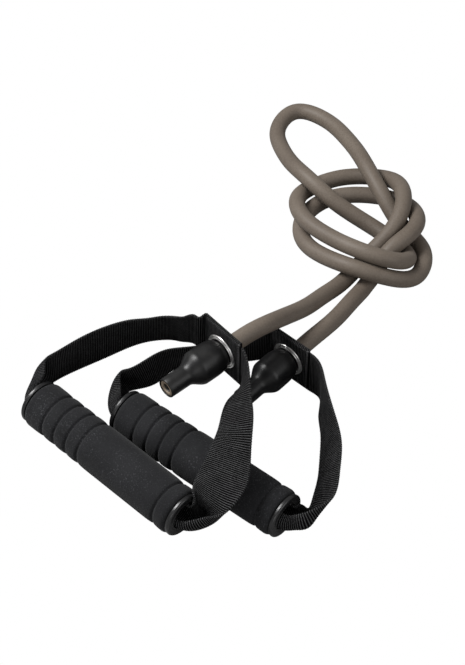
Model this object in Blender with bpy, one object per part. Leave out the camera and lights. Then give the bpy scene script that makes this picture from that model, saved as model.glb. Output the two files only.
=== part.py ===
"""Resistance tube: a latex cord tied once in a loose knot, with a strap handle at each end.

All sizes are in metres and +Z is up. The object lies on the floor at z = 0.
Each handle is a soft foam grip on a pipe, two end rings, a folded webbing strap, an eyelet
and a sleeved stopper that keeps the tube's end from slipping through the eyelet.
"""
import math

import bmesh
import bpy
import numpy as np
from mathutils import Matrix, Vector

for old in list(bpy.data.objects):
    bpy.data.objects.remove(old, do_unlink=True)

# Clearance left between pieces that touch
GAP = 0.0003

# Grip
GRIP_LENGTH = 0.133
FOAM_OD = 0.032
PIPE_OD = 0.024
PIPE_ID = 0.021
FOAM_EDGE_SHARE = 0.81
GROOVE_DEPTH = 0.0014
GROOVE_WIDTH = 0.0032
GROOVES_LEFT = (0.0165, 0.0271, 0.0377, 0.0484)
GROOVE_RIGHT = 0.0106
RING_OD = 0.0302
RING_FLANGE = 0.003
RING_BORE = 0.018
RING_SPIGOT = 0.010

# Webbing strap
WEB_WIDTH = 0.038
WEB_THICK = 0.0015
PANEL_LEFT = 0.0175
PANEL_RIGHT = 0.017
FREE_END_SETBACK = 0.0015

# Eyelet
EYELET_BORE = 0.017
EYELET_WALL = 0.0005
EYELET_FLANGE_OD = 0.0246
EYELET_FLANGE = 0.0012
EYELET_CURL_OD = 0.0208
WASHER_THICK = 0.0008

# Tube and its stoppers
TUBE_OD = 0.0118
TUBE_BORE = 0.0064
NECK_OD = 0.0162
BULB_OD = 0.0236
NOSE_OD = 0.0134
NOSE_WALL = 0.0009
BULB_WALL = 0.0012
STOPPER_END = 0.0483
PLUG_OD = 0.016
CAP_RECESS = 0.0005
JOINT_AT = -0.001

# The origin is the floor point under the middle of both handles; positions below are given
# about another floor point, and this is where the origin lies among them
MIDDLE = Vector((-0.03394, -0.09700, 0.0))

FRONT_GRIP = Vector((-0.0780, -0.11715, FOAM_OD / 2))
FRONT_GRIP_ALONG = Vector((0.7297, -0.6841, 0.0)).normalized()
FRONT_PANEL = Vector((-0.0053, -0.0634, 0.0575))
FRONT_PANEL_FACES = Vector((-0.753, -0.658, 0.0)).normalized()

REAR_GRIP = Vector((-0.01845, -0.12155, FOAM_OD / 2))
REAR_GRIP_ALONG = Vector((0.778, -0.628, 0.0)).normalized()
REAR_PANEL = Vector((0.038, -0.038, 0.0195))
REAR_PANEL_FACES = Vector((-0.672, -0.740, 0.0)).normalized()

UP = Vector((0.0, 0.0, 1.0))

# Left arm of the front strap, from the panel to the grip: lower edge, middle, upper edge
FRONT_LEFT_ARM = (
    ((-0.00269, 0.00352, 0.03870), None, (-0.00239, -0.00198, 0.07600)),
    ((-0.00202, 0.00859, 0.03860), None, (-0.00152, 0.00109, 0.07550)),
    ((0.00095, 0.01375, 0.03620), None, (0.00165, 0.00475, 0.07300)),
    ((0.00533, 0.02187, 0.02970), None, (0.00633, 0.01137, 0.06620)),
    ((0.01051, 0.03113, 0.02330), None, (0.01171, 0.02003, 0.05960)),
    ((0.01309, 0.03923, 0.01700), None, (0.01439, 0.02803, 0.05330)),
    ((0.01568, 0.04454, 0.01200), None, (0.01728, 0.03344, 0.04830)),
    ((0.01826, 0.04705, 0.00800), None, (0.02006, 0.03825, 0.04490)),
    ((0.01574, 0.04594, 0.00300), None, (0.01784, 0.04044, 0.04050)),
    ((0.00332, 0.03711, 0.00060), None, (0.00602, 0.03171, 0.03810)),
    ((-0.00140, 0.02972, 0.00060), None, (0.00110, 0.02292, 0.03770)),
    ((0.00178, 0.02408, 0.00150), (-0.00272, 0.02408, 0.01850), (0.00328, 0.01958, 0.03600)),
    ((0.00795, 0.01816, 0.00500), (-0.00165, 0.01716, 0.01700), (0.00745, 0.01466, 0.03100)),
)

# Right arm of the front strap, from the grip to the panel: inner edge, middle, outer edge, as level
# distances from points evenly between the ends, and heights above the floor
FRONT_RIGHT_ARM = (
    ((0.00304, -0.00313, 0.02900), (0.01224, -0.00813, 0.01500), (0.00824, -0.01473, 0.02750)),
    ((-0.00198, -0.00693, 0.03280), (0.01202, -0.01643, 0.02750), (0.01702, -0.02843, 0.03800)),
    ((-0.00554, -0.01216, 0.03300), (0.00976, -0.02286, 0.03500), (0.02126, -0.03336, 0.04200)),
    ((-0.00708, -0.01766, 0.03350), None, (0.02072, -0.03976, 0.04700)),
    ((-0.00681, -0.01646, 0.03520), None, (0.01639, -0.03826, 0.05570)),
    ((-0.00837, -0.01870, 0.03700), None, (0.01243, -0.03440, 0.06470)),
    ((-0.00670, -0.00910, 0.03800), None, (0.00740, -0.02650, 0.06870)),
)

# Left arm of the rear strap, from the panel to the grip: lower edge, middle, upper edge
REAR_LEFT_ARM = (
    ((-0.00933, 0.00194, 0.00060), None, (-0.00953, -0.00456, 0.03800)),
    ((-0.01497, 0.00450, 0.00060), None, (-0.01517, -0.00550, 0.03720)),
    ((-0.01946, 0.00882, 0.00060), None, (-0.01966, -0.00368, 0.03640)),
    ((-0.02021, 0.01426, 0.00060), None, (-0.02071, 0.00046, 0.03600)),
    ((-0.01462, 0.02031, 0.00060), None, (-0.01562, 0.00701, 0.03620)),
    ((-0.00907, 0.02531, 0.00060), None, (-0.01057, 0.01321, 0.03670)),
    ((-0.00407, 0.02455, 0.00060), None, (-0.00727, 0.01575, 0.03700)),
    ((-0.00512, 0.02470, 0.00060), None, (-0.01072, 0.01270, 0.03550)),
    ((-0.00372, 0.02582, 0.00150), (-0.00922, 0.02282, 0.01800), (-0.00722, 0.01482, 0.03450)),
    ((0.00364, 0.02308, 0.00400), (-0.00666, 0.02008, 0.01550), (-0.00036, 0.01208, 0.03050)),
)

# Right arm of the rear strap, in the same way: lower edge, middle, upper edge
REAR_RIGHT_ARM = (
    ((0.00960, 0.00605, 0.01850), (0.01010, -0.00225, 0.00880), (0.00660, -0.00555, 0.02360)),
    ((0.01293, 0.00168, 0.00450), (0.01693, -0.00712, 0.00950), (0.01543, -0.01582, 0.02850)),
    ((0.01440, -0.00244, 0.00080), (0.02100, -0.01364, 0.01400), (0.02400, -0.02414, 0.03000)),
    ((0.01523, -0.00570, 0.00060), None, (0.02673, -0.02320, 0.03220)),
    ((0.01411, -0.00740, 0.00060), None, (0.02551, -0.02100, 0.03410)),
    ((0.01234, -0.00776, 0.00060), None, (0.01944, -0.01966, 0.03590)),
    ((0.00952, -0.00498, 0.00060), None, (0.01132, -0.00838, 0.03830)),
    ((0.00734, -0.00196, 0.00060), None, (0.00564, -0.00196, 0.03840)),
)

# Which way the curled webbing opens inside each bore, in degrees from level towards up
FRONT_LEFT_OPENS = 40.0
FRONT_RIGHT_OPENS = 110.0
REAR_LEFT_OPENS = 40.0
REAR_RIGHT_OPENS = 72.0

# The tube's route between the two eyelets, chosen by hand
ROUTE = (
    (0.0270, -0.0320, 0.0490),
    (0.0375, -0.0165, 0.0375),
    (0.0501, 0.0018, 0.0249),
    (0.0624, 0.0214, 0.0143),
    (0.0769, 0.0409, 0.0070),
    (0.0934, 0.0597, 0.0108),
    (0.1108, 0.0760, 0.0198),
    (0.1205, 0.0986, 0.0244),
    (0.1189, 0.1232, 0.0196),
    (0.1046, 0.1408, 0.0091),
    (0.0802, 0.1433, 0.0062),
    (0.0579, 0.1317, 0.0081),
    (0.0463, 0.1109, 0.0159),
    (0.0507, 0.0870, 0.0214),
    (0.0666, 0.0674, 0.0245),
    (0.0853, 0.0506, 0.0290),
    (0.1085, 0.0439, 0.0254),
    (0.1224, 0.0574, 0.0125),
    (0.1128, 0.0798, 0.0068),
    (0.0934, 0.0958, 0.0095),
    (0.0724, 0.1073, 0.0180),
    (0.0546, 0.1240, 0.0239),
    (0.0430, 0.1459, 0.0183),
    (0.0357, 0.1695, 0.0121),
    (0.0344, 0.1945, 0.0080),
    (0.0484, 0.2137, 0.0064),
    (0.0697, 0.2023, 0.0083),
    (0.0826, 0.1808, 0.0126),
    (0.0914, 0.1575, 0.0180),
    (0.0990, 0.1334, 0.0209),
    (0.1092, 0.1109, 0.0156),
    (0.1221, 0.0910, 0.0068),
    (0.1341, 0.0687, 0.0062),
    (0.1277, 0.0461, 0.0064),
    (0.1060, 0.0372, 0.0152),
    (0.0825, 0.0415, 0.0206),
    (0.0633, 0.0571, 0.0151),
    (0.0502, 0.0779, 0.0091),
    (0.0509, 0.1025, 0.0062),
    (0.0682, 0.1206, 0.0064),
    (0.0929, 0.1255, 0.0063),
    (0.1170, 0.1190, 0.0075),
    (0.1295, 0.0990, 0.0153),
    (0.1260, 0.0750, 0.0221),
    (0.1090, 0.0579, 0.0195),
    (0.0953, 0.0426, 0.0062),
    (0.0823, 0.0211, 0.0096),
    (0.0710, 0.0030, 0.0130),
)
CORD_POINTS = 76
TIGHT_BENDS_NEED = 0.11
CORD_RADIUS = TUBE_OD / 2


def material(name, color, rough, metal=0.0):
    """One plain principled material."""
    made = bpy.data.materials.new(name)
    made.use_nodes = True
    shader = made.node_tree.nodes["Principled BSDF"]
    shader.inputs["Base Color"].default_value = (*color, 1.0)
    shader.inputs["Roughness"].default_value = rough
    shader.inputs["Metallic"].default_value = metal
    made.diffuse_color = (*color, 1.0)
    return made


def smooth_shading(made, degrees=35.0):
    """Round pieces shade smoothly and keep their real edges sharp."""
    made.data.shade_smooth()
    made.data.set_sharp_from_angle(angle=math.radians(degrees))


def mesh_object(name, points, faces, parent=None):
    """A mesh object with its faces turned outwards."""
    mesh = bpy.data.meshes.new(name)
    mesh.from_pydata([tuple(p) for p in points], [], faces)
    work = bmesh.new()
    work.from_mesh(mesh)
    bmesh.ops.recalc_face_normals(work, faces=work.faces)
    work.to_mesh(mesh)
    work.free()
    mesh.update()
    made = bpy.data.objects.new(name, mesh)
    bpy.context.collection.objects.link(made)
    if parent is not None:
        made.parent = parent
    return made


def carrier(name, middle, along):
    """An empty whose local Z lies along an axis; pieces on that axis hang from it."""
    empty = bpy.data.objects.new(name, None)
    bpy.context.collection.objects.link(empty)
    turned = along.to_track_quat("Z", "Y").to_matrix().to_4x4()
    empty.matrix_world = Matrix.Translation(middle - MIDDLE) @ turned
    empty.empty_display_size = 0.01
    return empty


def turned_piece(name, profile, parent, sides=24):
    """A piece of revolution about local Z from a closed outline of (radius, height) pairs."""
    points = []
    rings = []
    for radius, height in profile:
        if radius < 1e-7:
            rings.append([len(points)])
            points.append((0.0, 0.0, height))
            continue
        ring = []
        for k in range(sides):
            turn = 2.0 * math.pi * k / sides
            ring.append(len(points))
            points.append((radius * math.cos(turn), radius * math.sin(turn), height))
        rings.append(ring)
    faces = []
    count = len(rings)
    for i in range(count):
        low, high = rings[i], rings[(i + 1) % count]
        if len(low) == 1 and len(high) == 1:
            continue
        for k in range(sides):
            n = (k + 1) % sides
            if len(low) == 1:
                faces.append((low[0], high[n], high[k]))
            elif len(high) == 1:
                faces.append((low[k], low[n], high[0]))
            else:
                faces.append((low[k], low[n], high[n], high[k]))
    made = mesh_object(name, points, faces, parent)
    smooth_shading(made)
    return made


def clamped_spline(rows, start, end):
    """Smooth curve through rows with given end slopes; the spacing follows the first three columns."""
    rows = np.asarray(rows, float)
    steps = np.linalg.norm(np.diff(rows[:, :3], axis=0), axis=1)
    count = len(rows)
    left = np.zeros((count, count))
    right = np.zeros_like(rows)
    left[0, 0] = left[-1, -1] = 1.0
    right[0], right[-1] = start, end
    for i in range(1, count - 1):
        a, b = steps[i - 1], steps[i]
        left[i, i - 1], left[i, i], left[i, i + 1] = b, 2.0 * (a + b), a
        before = (rows[i] - rows[i - 1]) / a
        after = (rows[i + 1] - rows[i]) / b
        right[i] = 3.0 * (b * before + a * after)
    return rows, np.linalg.solve(left, right), steps


def along_spline(curve, spans):
    """Points of a spline; spans holds how many pieces each interval is cut into."""
    rows, slopes, steps = curve
    made = []
    for i, step in enumerate(steps):
        for k in range(spans[i]):
            t = k / spans[i]
            t2, t3 = t * t, t * t * t
            made.append((2 * t3 - 3 * t2 + 1) * rows[i] + (t3 - 2 * t2 + t) * step * slopes[i]
                        + (3 * t2 - 2 * t3) * rows[i + 1] + (t3 - t2) * step * slopes[i + 1])
    made.append(rows[-1])
    return np.array(made)


def foam_profile():
    """Half section of the foam: bore, rounded ends and shallow grooves."""
    half = GRIP_LENGTH / 2 - RING_FLANGE - GAP
    outer, bore = FOAM_OD / 2, PIPE_OD / 2 + GAP
    low = outer - GROOVE_DEPTH
    edge = FOAM_EDGE_SHARE * (outer - bore)
    rows = [(bore, -half)]
    for turn in (0.0, 30.0, 60.0, 90.0):
        lean = math.radians(turn)
        rows.append((outer - edge * (1 - math.sin(lean)), -half + edge * (1 - math.cos(lean))))
    places = [-half + g for g in GROOVES_LEFT] + [half - GROOVE_RIGHT]
    for place in places:
        rows.append((outer, place - GROOVE_WIDTH / 2))
        rows.append((low, place - GROOVE_WIDTH / 8))
        rows.append((low, place + GROOVE_WIDTH / 8))
        rows.append((outer, place + GROOVE_WIDTH / 2))
    for turn in (90.0, 60.0, 30.0, 0.0):
        lean = math.radians(turn)
        rows.append((outer - edge * (1 - math.sin(lean)), half - edge * (1 - math.cos(lean))))
    rows.append((bore, half))
    return rows


def ring_profile(side):
    """Half section of an end ring: a flange with a rounded lip and a spigot inside the pipe."""
    face = GRIP_LENGTH / 2
    back = face - RING_FLANGE
    outer, bore = RING_OD / 2, RING_BORE / 2
    spigot = PIPE_ID / 2 - GAP
    lip = 0.0008
    rows = [
        (outer - 0.0004, back),
        (outer, back + 0.0005),
        (outer, face - lip),
        (outer - 0.3 * lip, face - 0.3 * lip),
        (outer - lip, face),
        (bore + lip, face),
        (bore + 0.3 * lip, face - 0.3 * lip),
        (bore, face - lip),
        (bore, back - RING_SPIGOT),
        (spigot, back - RING_SPIGOT),
        (spigot, back),
    ]
    return [(r, side * h) for r, h in rows]


def grip(label, middle, along):
    """Foam, pipe and two end rings on one axis."""
    axis = carrier("grip_" + label + "_axis", middle, along)
    foam = turned_piece("foam_grip_" + label, foam_profile(), axis)
    foam.data.materials.append(FOAM)
    half = GRIP_LENGTH / 2 - RING_FLANGE - GAP
    wall = [(PIPE_ID / 2, -half), (PIPE_OD / 2, -half), (PIPE_OD / 2, half), (PIPE_ID / 2, half)]
    pipe = turned_piece("grip_core_" + label, wall, axis)
    pipe.data.materials.append(PIPE)
    for word, side in (("left", -1.0), ("right", 1.0)):
        ring = turned_piece("end_ring_" + word + "_" + label, ring_profile(side), axis)
        ring.data.materials.append(RING)


def bore_row(mouth, along, opens):
    """Middle and both edges of the webbing inside a bore, where it is curled to a C."""
    along, mouth, up = np.array(along), np.array(mouth), np.array(UP)
    radius = RING_BORE / 2 - 1.4 * GAP - WEB_THICK / 2
    level = np.cross(up, along)
    lean = math.radians(opens)
    inward = level * math.cos(lean) + up * math.sin(lean)
    across = np.cross(along, inward)
    turn = WEB_WIDTH / 2 / radius
    edges = [mouth - inward * radius * math.cos(turn) + across * side * radius * math.sin(turn)
             for side in (-1.0, 1.0)]
    return np.concatenate([mouth - inward * radius, edges[0], edges[1]])


def end_slope(here, there, travel):
    """Slopes at an arm's end, gentler for an edge that has less far to go."""
    far = np.linalg.norm((there - here).reshape(3, 3), axis=1)
    return np.concatenate([travel * min(1.0, reach / far[0]) for reach in far])


def arm(edges, start, end, start_travel, end_travel, piece=0.0075):
    """Sampled rows of one arm between two given end rows.

    The edges are level distances from points on the line between the end rows' middles, which lie
    closer together towards both ends, with heights above the floor.
    """
    rows = [start]
    for k, (low, middle, high) in enumerate(edges, 1):
        low, high = np.array(low), np.array(high)
        middle = (low + high) / 2 if middle is None else np.array(middle)
        share = k / (len(edges) + 1)
        base = start[:3] + (end[:3] - start[:3]) * share * share * (3 - 2 * share)
        rows.append(np.concatenate([middle, low, high]) + np.tile([base[0], base[1], 0.0], 3))
    rows.append(end)
    slopes = [end_slope(rows[0], rows[1], start_travel), end_slope(rows[-1], rows[-2], end_travel)]
    curve = clamped_spline(rows, slopes[0], slopes[1])
    spans = [max(2, int(round(step / piece))) for step in curve[2]]
    return along_spline(curve, spans)


def strap(label, grip_middle, grip_along, panel, faces, left_edges, right_edges, opens):
    """The webbing: back layer, left arm, through the grip, right arm, front layer."""
    along = np.array(grip_along)
    sideways = np.array(faces.cross(UP)) * -1.0
    normal, centre, up = np.array(faces), np.array(panel), np.array(UP)
    layer = (WEB_THICK + GAP) / 2
    reach = GRIP_LENGTH / 2

    def flat(offset, side):
        """A row of the panel, on the back layer or the front layer."""
        middle = centre + sideways * offset + normal * side * layer
        return np.concatenate([middle, middle - up * WEB_WIDTH / 2, middle + up * WEB_WIDTH / 2])

    back_end, back_crease = flat(PANEL_RIGHT - FREE_END_SETBACK, -1.0), flat(-PANEL_LEFT, -1.0)
    front_crease, front_end = flat(PANEL_RIGHT, 1.0), flat(FREE_END_SETBACK - PANEL_LEFT, 1.0)
    left_mouth = bore_row(np.array(grip_middle) - along * reach, along, opens[0])
    right_mouth = bore_row(np.array(grip_middle) + along * reach, along, opens[1])
    inside = [bore_row(np.array(grip_middle) + along * reach * f, along, twist(f, opens))
              for f in (-0.9, -0.45, 0.0, 0.45, 0.9)]
    left = arm(left_edges, back_crease, left_mouth, -sideways, along)
    right = arm(right_edges, right_mouth, front_crease, along, -sideways)
    rows = np.vstack([[back_end], left, inside, right, [front_end]])
    return webbing("strap_" + label, rows)


def twist(place, opens):
    """How far round the curled webbing has turned at a place between the two bores."""
    if abs(place) > 0.85:
        return opens[0] if place < 0 else opens[1]
    return opens[0] + (opens[1] - opens[0]) * (place / 0.85 + 1) / 2


def arc_across(row, count):
    """Evenly spaced points on the arc from one edge through the middle to the other edge."""
    middle, low, high = row[:3], row[3:6], row[6:9]
    chord = high - low
    width = np.linalg.norm(chord)
    side = chord / width
    bulge = (middle - low) - side * float((middle - low) @ side)
    sag = np.linalg.norm(bulge)
    share = np.linspace(0.0, 1.0, count)[:, None]
    if sag < 2e-4:
        return low + chord * share
    offset = float((middle - low) @ side)
    out = bulge / sag
    lift = (sag * sag + offset * offset - width * offset) / (2 * sag)
    centre = low + side * width / 2 + out * lift
    radius = np.linalg.norm(low - centre)
    first = math.atan2(float((low - centre) @ out), float((low - centre) @ side))
    last = math.atan2(float((high - centre) @ out), float((high - centre) @ side))
    if first < last:
        first += 2 * math.pi
    turn = first + (last - first) * share
    return centre + side * np.cos(turn) * radius + out * np.sin(turn) * radius


def webbing(name, rows, across=10):
    """A closed band of constant thickness swept through its rows."""
    grid = np.array([arc_across(row, across + 1) for row in rows])
    down = np.gradient(grid, axis=0)
    over = np.gradient(grid, axis=1)
    lean = np.cross(over, down)
    lean /= np.linalg.norm(lean, axis=2)[:, :, None]
    shift = np.array(MIDDLE)
    outer = grid - lean * WEB_THICK / 2 - shift
    inner = grid + lean * WEB_THICK / 2 - shift
    points = np.concatenate([outer, inner[:, ::-1]], axis=1).reshape(-1, 3)
    count = 2 * (across + 1)
    faces = []
    for i in range(len(rows) - 1):
        for k in range(count):
            n = (k + 1) % count
            faces.append((i * count + k, i * count + n, (i + 1) * count + n, (i + 1) * count + k))
    last = (len(rows) - 1) * count
    for k in range(across):
        faces.append((k, count - 1 - k, count - 2 - k, k + 1))
        faces.append((last + k, last + k + 1, last + count - 2 - k, last + count - 1 - k))
    made = mesh_object(name, points, faces)
    made.data.materials.append(WEBBING)
    return made


def punch(target, panel, faces, radius, depth):
    """Cuts the eyelet's round hole through both layers of a panel."""
    axis = carrier("punch_axis_" + target.name, panel, faces)
    rows = [(0.0, -depth), (radius, -depth), (radius, depth), (0.0, depth)]
    cutter = turned_piece("punch_" + target.name, rows, axis)
    cutter.hide_render = True
    cutter.display_type = "WIRE"
    cut = target.modifiers.new("eyelet_hole", "BOOLEAN")
    cut.operation = "DIFFERENCE"
    cut.solver = "EXACT"
    cut.object = cutter


def eyelet(label, panel, faces):
    """A rolled eyelet with its domed flange in front and its washer behind the panel."""
    axis = carrier("eyelet_" + label + "_axis", panel, faces)
    bore = EYELET_BORE / 2
    barrel = bore + EYELET_WALL
    outer = EYELET_FLANGE_OD / 2
    face = WEB_THICK + 1.5 * GAP
    crest = face + EYELET_FLANGE
    back = -(face + WASHER_THICK + GAP)
    lip = EYELET_CURL_OD / 2
    rows = [
        (barrel, face),
        (outer, face),
        (outer, face + 0.0003),
        (outer - 0.0006, crest - 0.0003),
        (outer - 0.0016, crest),
        (bore + 0.0012, crest),
        (bore + 0.0003, crest - 0.0004),
        (bore, crest - 0.0010),
        (bore, back - 0.0003),
        (bore + 0.0004, back - 0.0007),
        (lip - 0.0005, back - 0.0007),
        (lip, back - 0.0003),
        (lip, back),
        (barrel, back),
    ]
    ring = turned_piece("eyelet_" + label, rows, axis)
    ring.data.materials.append(EYELET)
    hole = barrel + GAP
    rows = [(hole, -face - WASHER_THICK), (outer, -face - WASHER_THICK), (outer, -face), (hole, -face)]
    washer = turned_piece("eyelet_washer_" + label, rows, axis)
    washer.data.materials.append(WASHER)


def sleeve_radius(s):
    """Outside radius of the sleeve at a distance s in front of the panel."""
    neck, bulb, nose = NECK_OD / 2, BULB_OD / 2, NOSE_OD / 2
    rise_from, rise_to, fall_from, fall_to = 0.0035, 0.014, 0.021, 0.035
    if s <= rise_from:
        return neck
    if s <= rise_to:
        return neck + (bulb - neck) * math.sqrt(max(0.0, 1 - ((rise_to - s) / (rise_to - rise_from)) ** 2))
    if s <= fall_from:
        return bulb
    if s >= fall_to:
        return nose
    t = (s - fall_from) / (fall_to - fall_from)
    return bulb + (nose - bulb) * t * t * (3 - 2 * t)


def sleeve_bore(s):
    """Inside radius of the sleeve: snug on the tube in the neck, thin over the bulb."""
    neck = TUBE_OD / 2 + 1.3 * GAP
    outside = sleeve_radius(s)
    if s <= 0.0035:
        return neck
    if s <= 0.014:
        t = (s - 0.0035) / 0.0105
        wall = (NECK_OD / 2 - neck) * (1 - t) + BULB_WALL * t
        return outside - wall
    if s <= 0.021:
        return outside - BULB_WALL
    if s >= 0.035:
        return outside - NOSE_WALL
    t = (s - 0.021) / 0.014
    return outside - (BULB_WALL * (1 - t) + NOSE_WALL * t)


def stopper(label, panel, faces):
    """Sleeve, tube end and plug, which turn together in the eyelet."""
    axis = carrier("stopper_" + label + "_axis", panel, faces)
    crest = WEB_THICK + 1.5 * GAP + EYELET_FLANGE
    back = -(crest + WASHER_THICK)
    spots = (0.0035, 0.0040, 0.0055, 0.008, 0.011, 0.014, 0.021, 0.0245, 0.028, 0.0315, 0.035)
    end = STOPPER_END
    rows = [(sleeve_radius(back), back)]
    rows += [(sleeve_radius(s), s) for s in spots]
    rows += [(NOSE_OD / 2, end - 0.0005), (NOSE_OD / 2 - 0.0003, end)]
    rows += [(sleeve_bore(s), s) for s in (end,) + spots[::-1]]
    rows += [(sleeve_bore(back), back)]
    sleeve = turned_piece("end_sleeve_" + label, rows, axis)
    sleeve.data.materials.append(SLEEVE)
    nose = end - CAP_RECESS
    plug = PLUG_OD / 2
    cavity = plug + GAP
    hollow = TUBE_BORE / 2
    rows = [(TUBE_OD / 2, JOINT_AT), (TUBE_OD / 2, spots[0])]
    rows += [(sleeve_bore(s) - GAP, s + GAP * (1 if s < 0.014 else 0)) for s in spots[1:]]
    rows += [(sleeve_bore(nose) - GAP, nose), (hollow, nose)]
    rows += [
        (hollow, 0.0278),
        (0.6 * cavity, 0.0271),
        (0.9 * cavity, 0.0253),
        (cavity, 0.0228),
        (cavity, 0.0117),
        (0.9 * cavity, 0.0092),
        (0.6 * cavity, 0.0074),
        (hollow, 0.0067),
        (hollow, JOINT_AT),
    ]
    tube_end = turned_piece("tube_end_" + label, rows, axis)
    tube_end.data.materials.append(LATEX)
    rows = [
        (0.0, 0.0075),
        (0.55 * plug, 0.0078),
        (0.88 * plug, 0.0096),
        (plug, 0.0121),
        (plug, 0.0224),
        (0.88 * plug, 0.0249),
        (0.55 * plug, 0.0267),
        (0.0, 0.0270),
    ]
    ball = turned_piece("tube_plug_" + label, rows, axis, 20)
    ball.data.materials.append(PLUG)


def cord_line():
    """Points along the tube's centre line: straight out of each eyelet, smooth in between."""
    first = np.array(FRONT_PANEL + FRONT_PANEL_FACES * (JOINT_AT - GAP))
    last = np.array(REAR_PANEL + REAR_PANEL_FACES * (JOINT_AT - GAP))
    out, home = -np.array(FRONT_PANEL_FACES), np.array(REAR_PANEL_FACES)
    rows = [first + out * TUBE_OD * 1.2] + [np.array(p) for p in ROUTE] + [last - home * TUBE_OD * 1.2]
    curve = clamped_spline(rows, out, home)
    fine = along_spline(curve, [40] * len(curve[2]))
    fine = np.vstack([[first], fine, [last]])
    reach = np.concatenate([[0.0], np.cumsum(np.linalg.norm(np.diff(fine, axis=0), axis=1))])
    heading = np.gradient(fine, reach, axis=0)
    bend = np.linalg.norm(np.gradient(heading, reach, axis=0), axis=1)
    bend = np.minimum(np.convolve(bend, np.ones(25) / 25, "same"), 80.0)
    crowd = 1.0 + bend * TIGHT_BENDS_NEED
    share = np.concatenate([[0.0], np.cumsum((crowd[1:] + crowd[:-1]) / 2 * np.diff(reach))])
    ends = np.interp([TUBE_OD * 1.2, reach[-1] - TUBE_OD * 1.2], reach, share)
    spots = np.interp(np.linspace(ends[0], ends[1], CORD_POINTS), share, reach)
    inner = np.stack([np.interp(spots, reach, fine[:, k]) for k in range(3)], 1)
    half = [first + out * TUBE_OD * 0.6]
    half_home = [last - home * TUBE_OD * 0.6]
    points = np.vstack([[first], half, inner, half_home, [last]])
    points[:, 2] = np.maximum(points[:, 2], CORD_RADIUS + 0.0001)
    return points, reach[-1]


def least_gap(points, apart):
    """Smallest distance between stretches of the cord that aren't neighbours, less its diameter."""
    steps = np.linalg.norm(np.diff(points, axis=0), axis=1)
    reach = np.concatenate([[0.0], np.cumsum(steps)])
    spots = np.arange(0.0, reach[-1], 0.0008)
    fine = np.stack([np.interp(spots, reach, points[:, k]) for k in range(3)], 1)
    best = 1.0
    for i in range(0, len(fine)):
        far = fine[i + int(apart / 0.0008):]
        if len(far):
            best = min(best, float(np.sqrt(((far - fine[i]) ** 2).sum(1)).min()))
    return best - TUBE_OD


def cord():
    """The latex tube between the eyelets."""
    points, length = cord_line()
    curve = bpy.data.curves.new("latex_tube", "CURVE")
    curve.dimensions = "3D"
    curve.bevel_depth = CORD_RADIUS
    curve.bevel_resolution = 4
    curve.use_fill_caps = True
    curve.twist_mode = "MINIMUM"
    line = curve.splines.new("POLY")
    line.points.add(len(points) - 1)
    for spot, p in zip(line.points, points):
        spot.co = (*(Vector(p) - MIDDLE), 1.0)
    made = bpy.data.objects.new("latex_tube", curve)
    bpy.context.collection.objects.link(made)
    curve.materials.append(TUBE)
    print("tube length", round(length, 4), "least gap", round(least_gap(points, 0.045), 5))
    print("tube lowest", round(float(points[:, 2].min()) - CORD_RADIUS, 5), "points", len(points))


FOAM = material("foam", (0.035, 0.036, 0.039), 0.9)
PIPE = material("grip_pipe", (0.05, 0.05, 0.055), 0.5)
RING = material("end_ring", (0.012, 0.012, 0.013), 0.2)
WEBBING = material("webbing", (0.016, 0.016, 0.018), 0.85)
EYELET = material("eyelet", (0.74, 0.74, 0.75), 0.2, 1.0)
WASHER = material("eyelet_washer", (0.66, 0.66, 0.67), 0.3, 1.0)
SLEEVE = material("sleeve", (0.015, 0.015, 0.016), 0.35)
LATEX = material("tube_end", (0.20, 0.16, 0.13), 0.6)
PLUG = material("plug", (0.05, 0.05, 0.05), 0.4)
TUBE = material("tube", (0.175, 0.145, 0.125), 0.62)

grip("front", FRONT_GRIP, FRONT_GRIP_ALONG)
grip("rear", REAR_GRIP, REAR_GRIP_ALONG)
HOLE = EYELET_BORE / 2 + EYELET_WALL + GAP
DEPTH = WEB_THICK + 4 * GAP
front_strap = strap("front", FRONT_GRIP, FRONT_GRIP_ALONG, FRONT_PANEL, FRONT_PANEL_FACES,
                    FRONT_LEFT_ARM, FRONT_RIGHT_ARM, (FRONT_LEFT_OPENS, FRONT_RIGHT_OPENS))
rear_strap = strap("rear", REAR_GRIP, REAR_GRIP_ALONG, REAR_PANEL, REAR_PANEL_FACES,
                   REAR_LEFT_ARM, REAR_RIGHT_ARM, (REAR_LEFT_OPENS, REAR_RIGHT_OPENS))
punch(front_strap, FRONT_PANEL, FRONT_PANEL_FACES, HOLE, DEPTH)
punch(rear_strap, REAR_PANEL, REAR_PANEL_FACES, HOLE, DEPTH)
eyelet("front", FRONT_PANEL, FRONT_PANEL_FACES)
eyelet("rear", REAR_PANEL, REAR_PANEL_FACES)
stopper("front", FRONT_PANEL, FRONT_PANEL_FACES)
stopper("rear", REAR_PANEL, REAR_PANEL_FACES)
cord()
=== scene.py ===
"""Looks of the resistance tube: a latex cord in a loose knot with two foam and webbing handles.

Everything is in metres in the row frame. Round pieces are outlines turned about their axis, the
straps are surfaces spanned between three smooth lines, and the tube is a curve along its route.
"""

import math

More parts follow.
